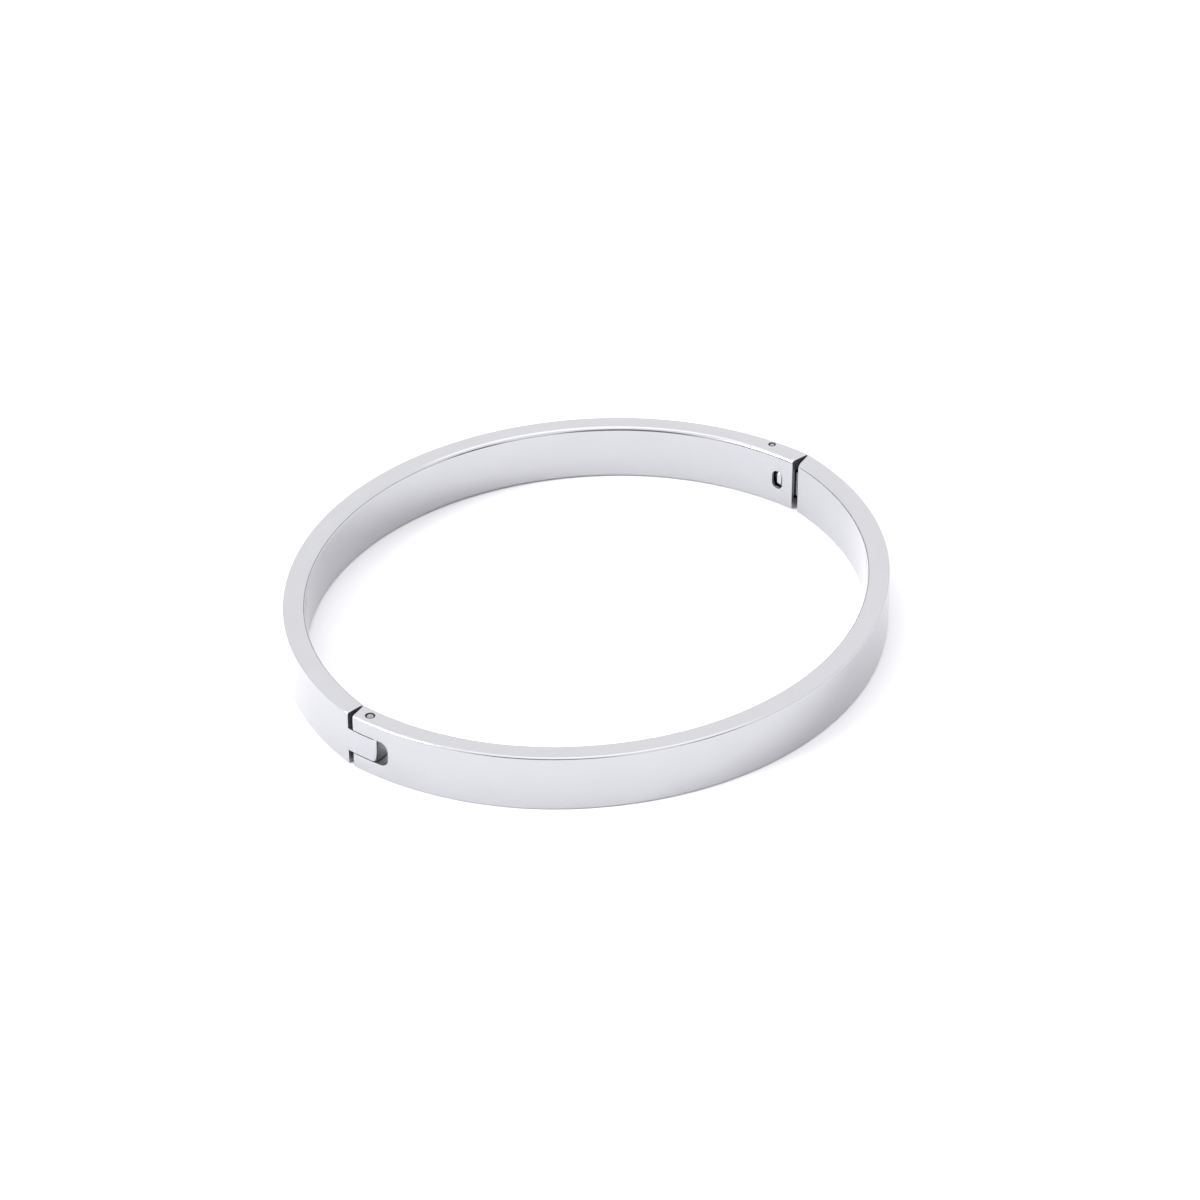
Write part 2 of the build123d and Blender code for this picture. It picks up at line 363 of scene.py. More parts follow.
def pick(piece, kind, test):
    """In edit mode, selects just the vertices, edges or faces that pass the test."""
    modes = [kind == mode for mode in ("verts", "edges", "faces")]
    bpy.context.tool_settings.mesh_select_mode = modes
    bpy.ops.mesh.select_all(action="DESELECT")
    mesh = bmesh.from_edit_mesh(piece.data)
    for element in getattr(mesh, kind):
        if test(element):
            element.select_set(True)
    mesh.select_flush_mode()
    bmesh.update_edit_mesh(piece.data)


def pick_flat(piece, point, normal):
    """In edit mode, selects the face that lies across the band at a point."""
    pick(
        piece, "faces",
        lambda face: abs((middle(face) - point).dot(normal)) < TOUCH
        and abs(face.normal.dot(normal)) > 0.99,
    )


def give_finish(piece, material_slot, test):
    """Gives the faces that pass the test the material in one of the piece's slots."""
    edit(piece)
    pick(piece, "faces", test)
    piece.active_material_index = material_slot
    bpy.ops.object.material_slot_assign()
    bpy.ops.object.mode_set(mode="OBJECT")


def cut_off(point, normal):
    """In edit mode, removes what is selected past a plane, and closes the cut."""
    bpy.ops.mesh.bisect(
        plane_co=point, plane_no=normal, use_fill=True, clear_outer=True, threshold=1e-8,
    )


def middle(element):
    """Mean of an edge's or a face's corners."""
    corners = [vertex.co for vertex in element.verts]
    return sum(corners, Vector()) / len(corners)


def box_tool(size, place, turn=0.0, corner=0.0, along=0, reach=None):
    """Block, turned about Z; the edges along one axis may be rounded, all four or by a test."""
    clear_selection()
    bpy.ops.mesh.primitive_cube_add(size=1)
    tool = bpy.context.object
    bpy.ops.object.mode_set(mode="EDIT")
    bpy.ops.transform.resize(value=size)
    if corner:
        pick(tool, "edges", lambda edge: is_along(edge, along) and (reach is None or reach(edge)))
        bpy.ops.mesh.bevel(offset=corner, segments=CORNER_SEGMENTS, affect="EDGES")
    bpy.ops.object.mode_set(mode="OBJECT")
    tool.location = place
    tool.rotation_euler = (0, 0, turn)
    return keep_place("tool")


def is_along(edge, axis):
    """True for an edge that runs along axis 0, 1 or 2."""
    run = edge.verts[1].co - edge.verts[0].co
    return abs(run[axis]) > 0.99 * run.length


def rod_tool(radius, place, low=-CUT_REACH, high=BAND_HEIGHT + CUT_REACH):
    """Upright round rod between two heights, which cuts through the whole band by default."""
    clear_selection()
    bpy.ops.mesh.primitive_cylinder_add(
        vertices=ROD_SIDES, radius=radius, depth=high - low,
        location=(place[0], place[1], (low + high) / 2),
    )
    return keep_place("tool")


def combine(piece, tool, operation="DIFFERENCE"):
    """Cuts the tool out of the piece, or fuses it on, and removes the tool."""
    clear_selection()
    # cut faces take the darker finish, which holds painted shade for slots and gaps
    cut_finish = POLISHED if operation == "UNION" else MACHINED_AND_SHADE
    tool.data.materials.append(piece.data.materials[cut_finish])
    cut = piece.modifiers.new("cut", "BOOLEAN")
    cut.object = tool
    cut.operation = operation
    cut.solver = "EXACT"
    cut.material_mode = "TRANSFER"
    bpy.context.view_layer.objects.active = piece
    bpy.ops.object.modifier_apply(modifier=cut.name)
    mesh = tool.data
    bpy.data.objects.remove(tool)
    bpy.data.meshes.remove(mesh)


def smooth(piece):
    """Shades a finished piece smooth, with its large faces kept true."""
    clear_selection()
    piece.select_set(True)
    bpy.context.view_layer.objects.active = piece
    bpy.ops.object.shade_smooth_by_angle(angle=SMOOTH_ANGLE)
    true = piece.modifiers.new("true faces", "WEIGHTED_NORMAL")
    true.keep_sharp = True
    true.weight = 60
    bpy.ops.object.modifier_apply(modifier=true.name)


def flat(point):
    """The point's place on the floor."""
    return Vector((point[0], point[1], 0))


def is_round_rim(place, radius):
    """Test for points on the rims of a round hole, in the band's top and bottom faces."""
    return lambda point: (
        (flat(point) - flat(place)).length < radius + TOUCH
        and abs(point.z - MID_HEIGHT) > MID_HEIGHT - TOUCH
    )


def end_centre(side, end):
    """Centre of the end arc of a half, on the floor."""
    return Vector((end * END_SHIFT, -side * END_DROP, 0))


def reach_x(radius, reach):
    """Distance from the Y axis of an end arc of that radius, at a distance reach from X."""
    return END_SHIFT + math.sqrt(radius**2 - (reach + END_DROP) ** 2)


def soften_rims(piece, offset, test):
    """Rounds the sharp edges that the test picks by their middle."""
    edit(piece)
    pick(
        piece, "edges",
        lambda edge: len(edge.link_faces) == 2
        and edge.calc_face_angle() > SHARP_ANGLE
        and test(middle(edge)),
    )
    bpy.ops.mesh.bevel(offset=offset, segments=2, affect="EDGES", clamp_overlap=True)
    bpy.ops.object.mode_set(mode="OBJECT")


# ------------------------------------------------------------------ the two halves
def bent_bar(name, side, sizes):
    """Bar with rounded long edges, bent round one half of the oval, with straight ends."""
    mid_radius = END_RADIUS - sizes.thickness / 2
    start = END_SLANT + STRAIGHT_END / END_RADIUS
    outward = Vector((math.cos(start), side * math.sin(start), 0))
    clear_selection()
    bpy.ops.mesh.primitive_plane_add(size=1)
    bpy.ops.object.mode_set(mode="EDIT")
    bpy.ops.transform.resize(value=(sizes.thickness, BAND_HEIGHT, 1))
    bpy.ops.object.mode_set(mode="OBJECT")
    bar = bpy.context.object
    place = end_centre(side, CLASP_END) + outward * mid_radius
    bar.location = place + UP * MID_HEIGHT
    bar.rotation_euler = (math.pi / 2, 0, side * start)
    bar = keep_place(name)
    edit(bar)
    for sign, radius in ((1, sizes.outer_edge), (-1, sizes.inner_edge)):
        pick(bar, "verts", lambda vertex: sign * (vertex.co - place).dot(outward) > SECTION_CORNER)
        bpy.ops.mesh.bevel(offset=radius, segments=EDGE_SEGMENTS, affect="VERTICES")
    bpy.ops.mesh.select_all(action="SELECT")
    bends = (
        (end_centre(side, CLASP_END), JOIN_ANGLE - start),
        (Vector((0, -side * MIDDLE_DROP, 0)), math.pi - 2 * JOIN_ANGLE),
        (end_centre(side, HINGE_END), JOIN_ANGLE - start),
    )
    for centre, turn in bends:
        bpy.ops.mesh.spin(
            steps=round(turn / BEND_STEP), angle=-side * turn, center=centre, axis=UP,
        )
    for end in (CLASP_END, HINGE_END):
        section = Vector((end * math.cos(start), side * math.sin(start), 0))
        tangent = Vector((end * math.sin(start), -side * math.cos(start), 0))
        end_middle = end_centre(side, end) + section * mid_radius
        pick_flat(bar, end_middle, tangent)
        bpy.ops.mesh.extrude_region_move(
            TRANSFORM_OT_translate={"value": tangent * (STRAIGHT_END + OVERRUN)}
        )
    bpy.ops.mesh.select_all(action="SELECT")
    bpy.ops.mesh.normals_make_consistent(inside=False)
    bpy.ops.object.mode_set(mode="OBJECT")
    return bar


def trim_end(piece, side, end, inner_y, outer_y, sizes):
    """Cuts one end of a half along a face from inner_y (inside) to outer_y (outside)."""
    inner = Vector((end * reach_x(END_RADIUS - sizes.thickness, 0), inner_y, 0))
    outer = Vector((end * HALF_LENGTH, outer_y, 0))
    waste = (outer - inner).cross(UP).normalized()
    if waste.y * side > 0:
        waste = -waste
    edit(piece)
    pick(piece, "faces", lambda face: middle(face).x * end > HALF_LENGTH / 2)
    cut_off(inner, waste)
    pick(
        piece, "edges",
        lambda edge: all(abs((vertex.co - inner).dot(waste)) < TOUCH for vertex in edge.verts)
        and middle(edge).x * end > 0,
    )
    bpy.ops.mesh.bevel(offset=sizes.end_break, segments=3, affect="EDGES")
    # the end face takes the darker cut finish, partly painted shade between the halves
    give_finish(
        piece, MACHINED_AND_SHADE,
        lambda face: abs((middle(face) - inner).dot(waste)) < TOUCH and middle(face).x * end > 0,
    )


def bore_tool(target, width, height, sizes, corner=0.0):
    """Block that runs from just before the clasp seam to a point of the band."""
    seam = Vector((reach_x(END_RADIUS - sizes.thickness / 2, 0), 0, 0))
    run = Vector((*target, 0)) - seam
    direction = run.normalized()
    setback = sizes.clasp_gap + sizes.clasp_bevel
    length = run.length + setback
    place = seam + direction * (length / 2 - setback) + UP * MID_HEIGHT
    turn = math.atan2(run.y, run.x)
    return box_tool((length, width, height), place, turn, corner, along=0)


def knuckle(sizes):
    """Flat-ended knuckle round the pin, run on into the back half flush with both faces."""
    mid_radius = END_RADIUS - sizes.thickness / 2
    bend_centre = end_centre(FRONT, HINGE_END)
    outward = (flat(HINGE_AXIS) - bend_centre).normalized()
    tip_turn = (sizes.knuckle_reach - KNUCKLE_TIP) / mid_radius
    outward.rotate(Matrix.Rotation(tip_turn, 3, "Z"))
    along = Vector((-outward.y, outward.x, 0))      # away from the back half
    tip = bend_centre + outward * mid_radius
    piece = box_tool(
        (sizes.thickness, KNUCKLE_TIP, sizes.knuckle_height),
        tip + along * KNUCKLE_TIP / 2 + UP * MID_HEIGHT, math.atan2(-outward.y, -outward.x),
        corner=sizes.knuckle_rounding, along=2, reach=lambda edge: middle(edge).y < 0,
    )
    edit(piece)
    pick_flat(piece, tip, along)
    meet = Vector((-reach_x(mid_radius, 0), 0, 0))
    turn = (meet - bend_centre).angle(tip - bend_centre)
    bpy.ops.mesh.spin(steps=KNUCKLE_STEPS, angle=turn, center=bend_centre, axis=UP)
    bpy.ops.transform.resize(value=(1, 0, 1), center_override=(0, 0, 0))
    root_y = sizes.shoulder_offset + sizes.knuckle_root
    root = Vector((-reach_x(mid_radius, root_y), root_y, 0)) - meet
    bpy.ops.mesh.extrude_region_move(TRANSFORM_OT_translate={"value": root})
    root_middle = meet + root + UP * MID_HEIGHT
    bpy.ops.transform.resize(value=(ROOT_TAPER, 1, 1), center_override=root_middle)
    bpy.ops.mesh.select_all(action="SELECT")
    bpy.ops.mesh.remove_doubles(threshold=0.0005 * MM)
    bpy.ops.mesh.normals_make_consistent(inside=False)
    bpy.ops.object.mode_set(mode="OBJECT")
    return piece


class BANGLE_OT_back_half(Operator):
    """Models the fixed back half, with the knuckle of the hinge and the socket of the clasp"""

    bl_idname = "bangle.back_half"
    bl_label = "Back Half"

    def execute(self, context):
        sizes = context.scene.bangle_sizes
        inner_radius = END_RADIUS - sizes.thickness
        mid_radius = END_RADIUS - sizes.thickness / 2
        half = bent_bar("back_half_band", BACK, sizes)
        half.data.materials.append(polished_steel(context))
        half.data.materials.append(machined_steel_and_shade(context))
        shoulder = sizes.shoulder_offset
        trim_end(half, BACK, HINGE_END, shoulder, shoulder, sizes)
        seam = sizes.clasp_gap / 2
        trim_end(half, BACK, CLASP_END, seam + sizes.clasp_relief, seam, sizes)

        combine(half, knuckle(sizes), "UNION")
        # the knuckle's flat end takes the darker cut finish, partly painted shade in the slot
        tip_y = HINGE_AXIS.y - sizes.knuckle_reach + sizes.knuckle_rounding / 5
        give_finish(
            half, MACHINED_AND_SHADE, lambda face: middle(face).y < tip_y and face.normal.y < -0.97,
        )
        bore = sizes.hinge_pin_radius + sizes.pin_play
        combine(half, rod_tool(bore, HINGE_AXIS))
        soften_rims(half, sizes.rim_break, lambda p: p.x < 0 and p.y < shoulder - TOUCH)

        socket_end = (reach_x(mid_radius, sizes.socket_depth), sizes.socket_depth)
        combine(half, bore_tool(
            socket_end, sizes.socket_width, sizes.socket_height, sizes, sizes.socket_corner,
        ))
        window = Vector((reach_x(inner_radius, sizes.window_reach), sizes.window_reach, 0))
        outward = (window - end_centre(BACK, CLASP_END)).normalized()
        combine(half, box_tool(
            (sizes.thickness, sizes.window_width, sizes.window_height),
            window + UP * MID_HEIGHT, math.atan2(outward.y, outward.x),
            sizes.window_width * NEARLY_HALF, along=0,
        ))
        combine(half, rod_tool(sizes.stop_pin_radius, STOP_PIN_AXIS))
        soften_rims(half, sizes.rim_break, is_round_rim(STOP_PIN_AXIS, sizes.stop_pin_radius))
        soften_rims(
            half, sizes.rim_break,
            lambda p: (flat(p) - flat(window)).length < sizes.window_width
            and (flat(p) - end_centre(BACK, CLASP_END)).length < inner_radius + NEAR
            and abs(p.z - MID_HEIGHT) < sizes.window_height / 2 + TOUCH,
        )
        smooth(half)
        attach(half, "back")
        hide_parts("back_half")
        return {"FINISHED"}


class BANGLE_OT_front_half(Operator):
    """Models the front half that swings open, with the two ears of the hinge"""

    bl_idname = "bangle.front_half"
    bl_label = "Front Half"

    def execute(self, context):
        sizes = context.scene.bangle_sizes
        mid_radius = END_RADIUS - sizes.thickness / 2
        half = bent_bar("front_half_band", FRONT, sizes)
        half.data.materials.append(polished_steel(context))
        half.data.materials.append(machined_steel_and_shade(context))
        trim_end(half, FRONT, HINGE_END, sizes.ear_overrun, -sizes.ear_setback, sizes)
        outer_y = -sizes.clasp_gap / 2
        trim_end(half, FRONT, CLASP_END, outer_y - sizes.clasp_bevel, outer_y, sizes)

        slot_end = HINGE_AXIS.y - sizes.slot_reach
        slot_length = CUT_REACH - slot_end
        combine(half, box_tool(
            (CUT_REACH * 2, slot_length, sizes.slot_height),
            (-HALF_LENGTH, slot_end + slot_length / 2, MID_HEIGHT),
            corner=sizes.slot_corner, along=0, reach=lambda edge: middle(edge).y < 0,
        ))
        soften_rims(
            half, sizes.rim_break,
            lambda p: p.x < 0 and p.y > slot_end - TOUCH
            and abs(p.z - MID_HEIGHT) < sizes.slot_height / 2 + TOUCH,
        )
        combine(half, rod_tool(sizes.hinge_pin_radius, HINGE_AXIS))
        soften_rims(half, sizes.rim_break, is_round_rim(HINGE_AXIS, sizes.hinge_pin_radius))

        root_end = (reach_x(mid_radius, sizes.spring_root), -sizes.spring_root)
        combine(half, bore_tool(root_end, sizes.spring_width, sizes.spring_height, sizes))
        smooth(half)
        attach(half, "front")
        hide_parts("front_half")
        return {"FINISHED"}


# ------------------------------------------------------------------ pins and spring
def turned_pin(name, radius, place, sizes):
    """Round pin with broken rims and a shallow dimple in each end, a little below the band."""
    pin = rod_tool(radius, place, sizes.pin_recess, BAND_HEIGHT - sizes.pin_recess)
    pin.name = name
    pin.data.name = name
    edit(pin)
    pick(pin, "faces", lambda face: abs(face.normal.z) > 0.9)
    bpy.ops.mesh.bevel(offset=sizes.pin_chamfer, segments=2, profile=0.3, affect="EDGES")
    pick(pin, "faces", lambda face: abs(face.normal.z) > 0.99)
    bpy.ops.mesh.inset(thickness=0.3 * radius, depth=-sizes.pin_dimple)
    bpy.ops.object.mode_set(mode="OBJECT")
    return pin


class BANGLE_OT_pins(Operator):
    """Turns the hinge pin and the stop pin"""

    bl_idname = "bangle.pins"
    bl_label = "Pins"

    def execute(self, context):
        sizes = context.scene.bangle_sizes
        pins = (
            ("hinge_pin", "front", sizes.hinge_pin_radius, HINGE_AXIS),
            ("stop_pin", "back", sizes.stop_pin_radius, STOP_PIN_AXIS),
        )
        for node, body, radius, place in pins:
            pin = turned_pin(node + "_turned", radius - sizes.pin_fit, place, sizes)
            pin.data.materials.append(pin_steel(context))
            pin.data.materials.append(groove_painted_shade(context))
            # the chamfered rim round each pin end is painted near-black as shade
            give_finish(pin, PIN_GROOVE_SHADE, lambda face: 0.05 < abs(face.normal.z) < 0.9)
            smooth(pin)
            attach(pin, body)
            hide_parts(node)
        return {"FINISHED"}


class BANGLE_OT_spring(Operator):
    """Finishes the folded spring that snaps into the catch window"""

    bl_idname = "bangle.spring"
    bl_label = "Clasp Spring"

    def execute(self, context):
        node = frame["nodes"]["spring_tongue"]
        for material_slot in node.material_slots:
            material_slot.material = spring_steel(context)
        return {"FINISHED"}


# ------------------------------------------------------------------ finishes
def add_node(tree, kind, **settings):
    """New node with its settings."""
    node = tree.nodes.new(kind)
    for name, value in settings.items():
        setattr(node, name, value)
    return node


def feed(tree, value, socket):
    """Links an output into a socket, or sets the socket's own value."""
    if isinstance(value, bpy.types.NodeSocket):
        tree.links.new(value, socket)
    else:
        socket.default_value = value


def calc(tree, operation, *values):
    """Math node; returns its result."""
    node = add_node(tree, "ShaderNodeMath", operation=operation)
    for socket, value in zip(node.inputs, values):
        feed(tree, value, socket)
    return node.outputs[0]


def fade(tree, value, low, high, to_low=0.0, to_high=1.0):
    """Smooth step of a value from low to high."""
    node = add_node(tree, "ShaderNodeMapRange", interpolation_type="SMOOTHSTEP")
    for socket, setting in zip(node.inputs, (value, low, high, to_low, to_high)):
        feed(tree, setting, socket)
    return node.outputs[0]


def grain(tree, vector, scale, detail=2.0, roughness=0.55):
    """Noise texture; returns its value."""
    node = add_node(tree, "ShaderNodeTexNoise")
    feed(tree, vector, node.inputs["Vector"])
    node.inputs["Scale"].default_value = scale
    node.inputs["Detail"].default_value = detail
    node.inputs["Roughness"].default_value = roughness
    return node.outputs[0]


def streaks(tree, vector, turn, stretch, threshold):
    """Thin stray scratches that run at a small angle to the band."""
    lay = add_node(tree, "ShaderNodeMapping")
    feed(tree, vector, lay.inputs["Vector"])
    lay.inputs["Rotation"].default_value = (0, 0, turn)
    lay.inputs["Scale"].default_value = stretch
    marks = grain(tree, lay.outputs[0], 1.0, detail=1.0)
    return fade(tree, marks, threshold, threshold + 0.06)


def polishing_marks():
    """Node group shared by the steels: polishing lines, stray scratches, smudges, worn edges."""
    name = "polishing marks"
    if name in bpy.data.node_groups:
        return bpy.data.node_groups[name]
    group = bpy.data.node_groups.new(name, "ShaderNodeTree")
    for label, default in (("Line Density", 1.0), ("Scratches", 1.0), ("Edge Width", 0.35)):
        socket = group.interface.new_socket(label, in_out="INPUT", socket_type="NodeSocketFloat")
        socket.default_value = default
    for label in ("Lines", "Scratches", "Smudges", "Edges", "Height"):
        group.interface.new_socket(label, in_out="OUTPUT", socket_type="NodeSocketFloat")
    given = add_node(group, "NodeGroupInput").outputs
    result = add_node(group, "NodeGroupOutput").inputs

    # Unrolled band in millimetres: along it, up it, and across its thickness
    place = add_node(group, "ShaderNodeTexCoord").outputs["Object"]
    split = add_node(group, "ShaderNodeSeparateXYZ")
    feed(group, place, split.inputs[0])
    x, y, z = split.outputs
    angle = calc(group, "ARCTAN2", y, calc(group, "ABSOLUTE", x))
    along = calc(group, "MULTIPLY", angle, END_RADIUS / MM)
    up = calc(group, "DIVIDE", z, MM)
    squared = calc(group, "ADD", calc(group, "MULTIPLY", x, x), calc(group, "MULTIPLY", y, y))
    across = calc(group, "DIVIDE", calc(group, "SQRT", squared), MM)
    unrolled = add_node(group, "ShaderNodeCombineXYZ")
    feed(group, along, unrolled.inputs[0])
    feed(group, calc(group, "ADD", up, across), unrolled.inputs[1])
    feed(group, calc(group, "SUBTRACT", up, across), unrolled.inputs[2])
    unrolled = unrolled.outputs[0]

    stretch = add_node(group, "ShaderNodeCombineXYZ")
    feed(group, 0.25, stretch.inputs[0])
    feed(group, calc(group, "MULTIPLY", given["Line Density"], 18.0), stretch.inputs[1])
    feed(group, calc(group, "MULTIPLY", given["Line Density"], 18.0), stretch.inputs[2])
    lay = add_node(group, "ShaderNodeVectorMath", operation="MULTIPLY")
    feed(group, unrolled, lay.inputs[0])
    feed(group, stretch.outputs[0], lay.inputs[1])
    lines = grain(group, lay.outputs[0], 1.0, detail=3.0)

    down = streaks(group, unrolled, math.radians(7), (0.45, 13, 13), 0.70)
    rise = streaks(group, unrolled, math.radians(-11), (0.7, 17, 17), 0.72)
    stray = calc(group, "MULTIPLY", calc(group, "MAXIMUM", down, rise), given["Scratches"])

    smudges = grain(group, unrolled, 0.22, detail=4.0, roughness=0.6)
    from_middle = calc(group, "ABSOLUTE", calc(group, "SUBTRACT", up, MID_HEIGHT / MM))
    rim = calc(group, "SUBTRACT", MID_HEIGHT / MM, given["Edge Width"])
    worn = fade(group, from_middle, rim, MID_HEIGHT / MM)
    patchy = fade(group, grain(group, unrolled, 1.3), 0.35, 0.65)
    edges = calc(group, "MULTIPLY", worn, patchy)

    height = calc(group, "SUBTRACT", calc(group, "MULTIPLY", lines, 0.5), stray)
    feed(group, lines, result["Lines"])
    feed(group, stray, result["Scratches"])
    feed(group, smudges, result["Smudges"])
    feed(group, edges, result["Edges"])
    feed(group, height, result["Height"])
    return group


def steel(name, colour, roughness, density, scratches, edge_width, depth):
    """Steel with polishing marks; depth is the height of the marks in metres."""
    if name in bpy.data.materials:
        return bpy.data.materials[name]
    material = bpy.data.materials.new(name)
    material.use_nodes = True
    tree = material.node_tree
    tree.nodes.clear()
    marks = add_node(tree, "ShaderNodeGroup", node_tree=polishing_marks())
    marks.inputs["Line Density"].default_value = density
    marks.inputs["Scratches"].default_value = scratches
    marks.inputs["Edge Width"].default_value = edge_width
    lines, stray, smudges, edges, height = marks.outputs

    shader = add_node(tree, "ShaderNodeBsdfPrincipled")
    shader.inputs["Metallic"].default_value = 1
    output = add_node(tree, "ShaderNodeOutputMaterial")
    feed(tree, shader.outputs["BSDF"], output.inputs["Surface"])

    tint = add_node(tree, "ShaderNodeValToRGB")
    feed(tree, smudges, tint.inputs["Fac"])
    tint.color_ramp.elements[0].position = 0.3
    tint.color_ramp.elements[0].color = (*[0.985 * value for value in colour], 1)
    tint.color_ramp.elements[1].position = 0.7
    tint.color_ramp.elements[1].color = (*[1.015 * value for value in colour], 1)
    scratched = add_node(tree, "ShaderNodeMix", data_type="RGBA", blend_type="MIX")
    feed(tree, calc(tree, "MULTIPLY", stray, 0.18), scratched.inputs["Factor"])
    feed(tree, tint.outputs["Color"], scratched.inputs["A"])
    scratched.inputs["B"].default_value = (*[0.75 * value for value in colour], 1)
    feed(tree, scratched.outputs["Result"], shader.inputs["Base Color"])

    rough = calc(tree, "MULTIPLY_ADD", lines, 0.3 * roughness, 0.85 * roughness)
    rough = calc(tree, "MULTIPLY_ADD", smudges, 0.5 * roughness, rough)
    rough = calc(tree, "SUBTRACT", rough, 0.25 * roughness)
    rough = calc(tree, "MULTIPLY_ADD", stray, 0.08, rough)
    rough = calc(tree, "MULTIPLY_ADD", edges, 0.05, rough)
    feed(tree, rough, shader.inputs["Roughness"])

    relief = add_node(tree, "ShaderNodeBump")
    relief.inputs["Strength"].default_value = 1.0
    relief.inputs["Distance"].default_value = depth
    feed(tree, height, relief.inputs["Height"])
    feed(tree, relief.outputs["Normal"], shader.inputs["Normal"])
    return material


def polished_steel(context):
    """Mirror-polished steel of the band, with fine wiping scratches."""
    finish = context.scene.bangle_finish
    return steel("polished_steel_finish", finish.steel, finish.polish, 1.0, 1.0, 0.35, 4e-8)


def machined_steel_and_shade(context):
    """Cut and filed faces of slot, socket and ends, left unpolished; their darker colour is
    painted shade for the slots and gaps they lie in.
    """
    finish = context.scene.bangle_finish
    return steel("machined_steel_finish", finish.machined, 0.42, 0.6, 1.0, 0.05, 8e-7)


def pin_steel(context):
    """Drawn wire of the pins, darker and less polished."""
    finish = context.scene.bangle_finish
    return steel("pin_steel_finish", finish.pin, 0.3, 2.0, 1.0, 0.6, 4e-7)


def groove_painted_shade(context):
    """Near-black steel painted as shade in the groove round the pins' ends."""
    finish = context.scene.bangle_finish
    return steel("groove_residue_finish", finish.groove, 0.6, 1.0, 0.0, 0.1, 2e-7)


def spring_steel(context):
    """Rolled strip of the spring, satin."""
    finish = context.scene.bangle_finish
    return steel("spring_steel_finish", finish.spring, 0.26, 1.6, 1.0, 0.2, 3e-7)


def floor_board(context):
    """Matt pale board of the studio floor."""
    finish = context.scene.bangle_finish
    material = bpy.data.materials.new("floor_board")
    material.use_nodes = True
    shader = material.node_tree.nodes["Principled BSDF"]
    shader.inputs["Base Color"].default_value = (*finish.floor, 1)
    shader.inputs["Roughness"].default_value = 0.9
    shader.inputs["Specular IOR Level"].default_value = 0.1
    return material


# ------------------------------------------------------------------ stage
FLOOR_RADIUS = 1.6
SIDE_BOX_SIZE = 0.5
SIDE_BOX_PLACE = (-0.75, 0.35, 0.55)
TOP_BOX_SIZE = 0.9
TOP_BOX_PLACE = (0.1, 0.0, 1.0)
CAMERA_SHIFT = (0.0101, 0.0032)
SENSOR_WIDTH = 36
DIM_WALL = 0.9              # light from the walls near the floor line
BRIGHT_WALL = 1.46          # and above that
# Openings in the studio's walls, in degrees and from +X towards +Y: azimuth, elevation,
# half-width of the dark part, half-width with its soft edge, and light that is left in it
DARK_SPOTS = (
    (163, 3, 15, 19, 0.08),
    (-140, 14, 18, 30, 0.25),
    (-84, 12, 8, 13, 0.05),
)


def softbox(name, power, size, place):
    """Square area light that faces the middle of the floor."""
    light = bpy.data.lights.new(name, "AREA")
    light.energy = power
    light.shape = "SQUARE"
    light.size = size
    lamp = bpy.data.objects.new(name, light)
    bpy.context.scene.collection.objects.link(lamp)
    lamp.location = place
    lamp.rotation_euler = (-Vector(place)).to_track_quat("-Z", "Y").to_euler()


def studio_world():
    """Pale studio round the stage, dim near the floor line and darker in a few directions."""
    world = bpy.data.worlds.new("studio")
    world.use_nodes = True
    bpy.context.scene.world = world
    tree = world.node_tree
    direction = add_node(tree, "ShaderNodeTexCoord").outputs["Generated"]
    split = add_node(tree, "ShaderNodeSeparateXYZ")
    feed(tree, direction, split.inputs[0])
    level = fade(tree, split.outputs["Z"], 0.0, 0.3, DIM_WALL, BRIGHT_WALL)
    for azimuth, elevation, inner, outer, dark in DARK_SPOTS:
        spot = add_node(tree, "ShaderNodeVectorMath", operation="DOT_PRODUCT")
        feed(tree, direction, spot.inputs[0])
        level_run = math.cos(math.radians(elevation))
        spot.inputs[1].default_value = (
            level_run * math.cos(math.radians(azimuth)),
            level_run * math.sin(math.radians(azimuth)),
            math.sin(math.radians(elevation)),
        )
        shade = fade(
            tree, spot.outputs["Value"],
            math.cos(math.radians(outer)), math.cos(math.radians(inner)), 1.0, dark,
        )
        level = calc(tree, "MULTIPLY", level, shade)
    background = tree.nodes["Background"]
    background.inputs["Color"].default_value = (1, 1, 1.012, 1)
    feed(tree, level, background.inputs["Strength"])


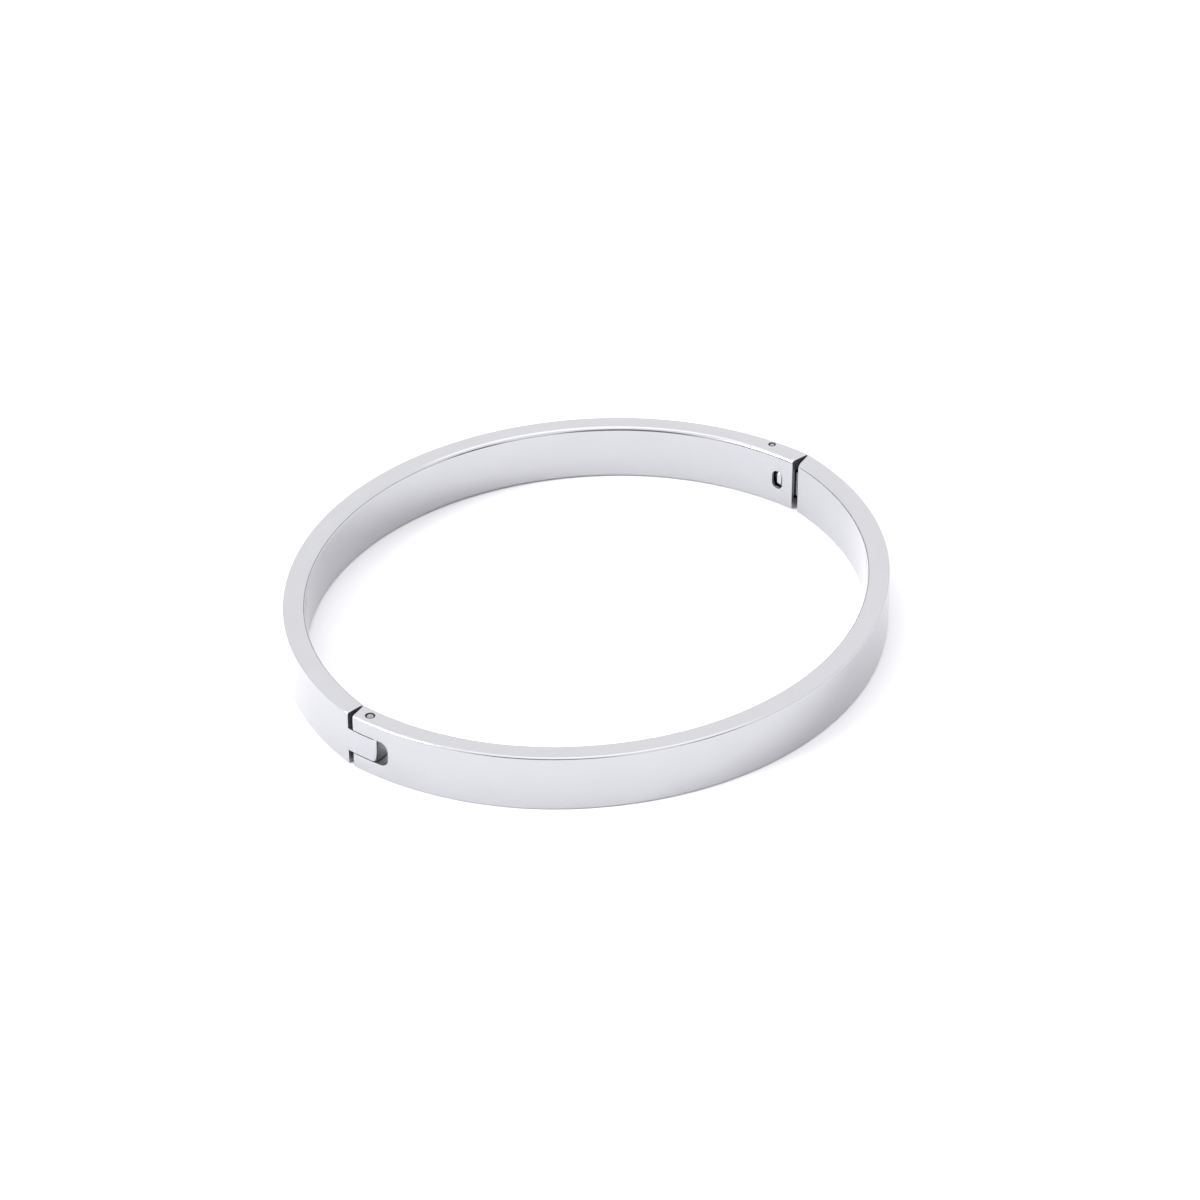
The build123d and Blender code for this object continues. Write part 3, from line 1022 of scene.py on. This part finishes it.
class BANGLE_OT_stage(Operator):
    """Sets up the pale floor, the soft studio light and the camera"""

    bl_idname = "bangle.stage"
    bl_label = "Studio Stage"

    def execute(self, context):
        stage = context.scene.bangle_stage
        clear_selection()
        bpy.ops.mesh.primitive_circle_add(vertices=96, radius=FLOOR_RADIUS, fill_type="NGON")
        floor = keep_place("floor")
        floor.data.materials.append(floor_board(context))

        softbox("side_softbox", stage.key_light, SIDE_BOX_SIZE, SIDE_BOX_PLACE)
        softbox("top_softbox", stage.top_light, TOP_BOX_SIZE, TOP_BOX_PLACE)
        studio_world()
        context.scene.view_settings.view_transform = "Standard"

        target = Vector((0, 0, MID_HEIGHT))
        level_run = math.cos(stage.elevation)
        away = Vector((
            level_run * math.sin(stage.azimuth),
            -level_run * math.cos(stage.azimuth),
            math.sin(stage.elevation),
        ))
        lens = bpy.data.cameras.new("camera")
        lens.lens = stage.lens
        lens.sensor_width = SENSOR_WIDTH
        lens.shift_x, lens.shift_y = CAMERA_SHIFT
        lens.clip_start = 0.01
        camera = bpy.data.objects.new("camera", lens)
        context.scene.collection.objects.link(camera)
        camera.location = target + away * stage.distance
        camera.rotation_euler = (-away).to_track_quat("-Z", "Y").to_euler()
        context.scene.camera = camera
        return {"FINISHED"}


# ------------------------------------------------------------------ sidebar panel
class BANGLE_PT_panel(Panel):
    """Lists the bangle's settings and pieces"""

    bl_idname = "BANGLE_PT_panel"
    bl_label = "Hinged Bangle"
    bl_space_type = "VIEW_3D"
    bl_region_type = "UI"
    bl_category = "Bangle"

    def draw(self, context):
        layout = self.layout
        for group in (
            context.scene.bangle_sizes,
            context.scene.bangle_finish,
            context.scene.bangle_stage,
        ):
            column = layout.column(align=True)
            for name in group.__annotations__:
                column.prop(group, name)
        for operator in OPERATORS:
            layout.operator(operator.bl_idname)


OPERATORS = (
    BANGLE_OT_stage,
    BANGLE_OT_back_half,
    BANGLE_OT_front_half,
    BANGLE_OT_pins,
    BANGLE_OT_spring,
)
CLASSES = (BangleSizes, BangleFinish, BangleStage, *OPERATORS, BANGLE_PT_panel)


def register():
    for cls in CLASSES:
        bpy.utils.register_class(cls)
    bpy.types.Scene.bangle_sizes = PointerProperty(type=BangleSizes)
    bpy.types.Scene.bangle_finish = PointerProperty(type=BangleFinish)
    bpy.types.Scene.bangle_stage = PointerProperty(type=BangleStage)


def unregister():
    del bpy.types.Scene.bangle_stage
    del bpy.types.Scene.bangle_finish
    del bpy.types.Scene.bangle_sizes
    for cls in reversed(CLASSES):
        bpy.utils.unregister_class(cls)


def main():
    register()
    bpy.ops.bangle.stage()
    bpy.ops.bangle.back_half()
    bpy.ops.bangle.front_half()
    bpy.ops.bangle.pins()
    bpy.ops.bangle.spring()


if __name__ == "__main__":
    main()
